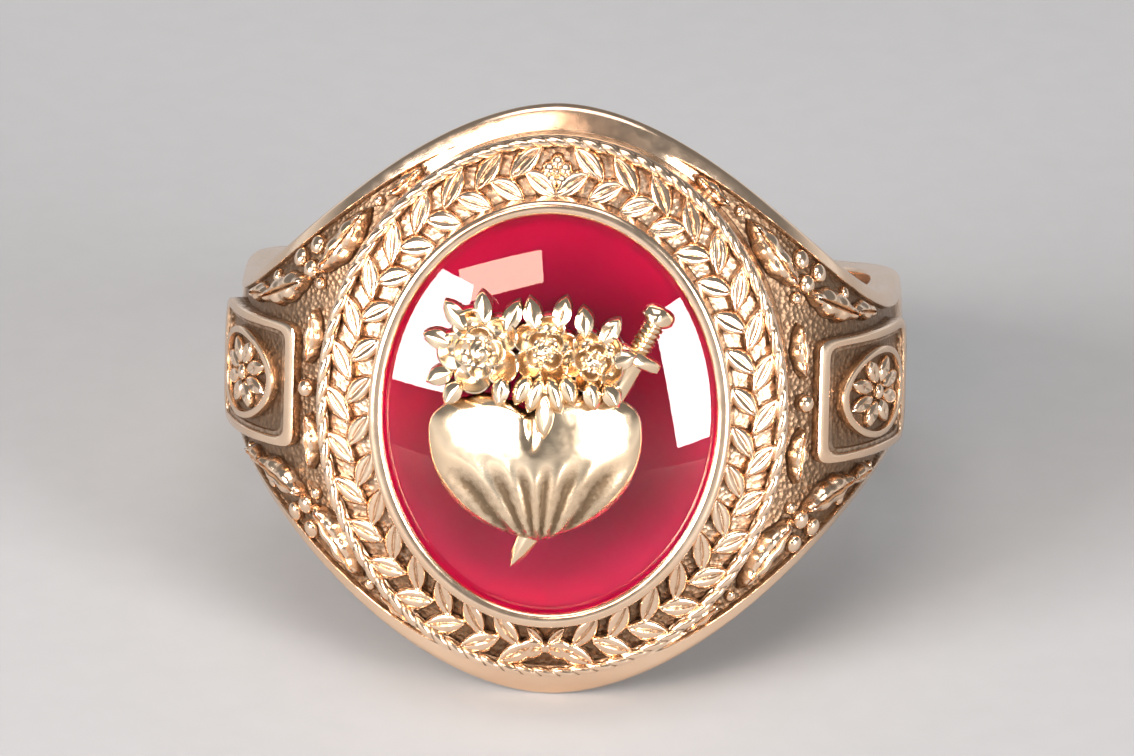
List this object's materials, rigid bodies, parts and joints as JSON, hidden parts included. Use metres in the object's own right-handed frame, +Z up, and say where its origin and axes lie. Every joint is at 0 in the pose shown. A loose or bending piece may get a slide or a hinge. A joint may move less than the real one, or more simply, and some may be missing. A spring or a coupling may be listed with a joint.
{
  "type": "class ring",
  "caption": "Gold class ring with a lens-shaped head, a red oval buff-top stone under a raised heart, flower and sword emblem, and relief shoulders.",
  "frame": {"origin": "on the surface under the middle of the lying ring's box", "axes": "+Z up from the surface the ring lies on; the stone faces -Y, tilted up by the ring's rest angle; X runs across the face"},
  "size_m": [0.0202, 0.0252, 0.0165],
  "materials": {
    "gold_body": "polished cast rose-yellow gold, dark in its recesses",
    "red_stone": "polished smooth top, clear crimson",
    "gold_emblem": "polished yellow gold"
  },
  "bodies": {
    "root": {"ring_body": "gold_body", "stone": "red_stone", "emblem": "gold_emblem"}
  },
  "joints": []
}
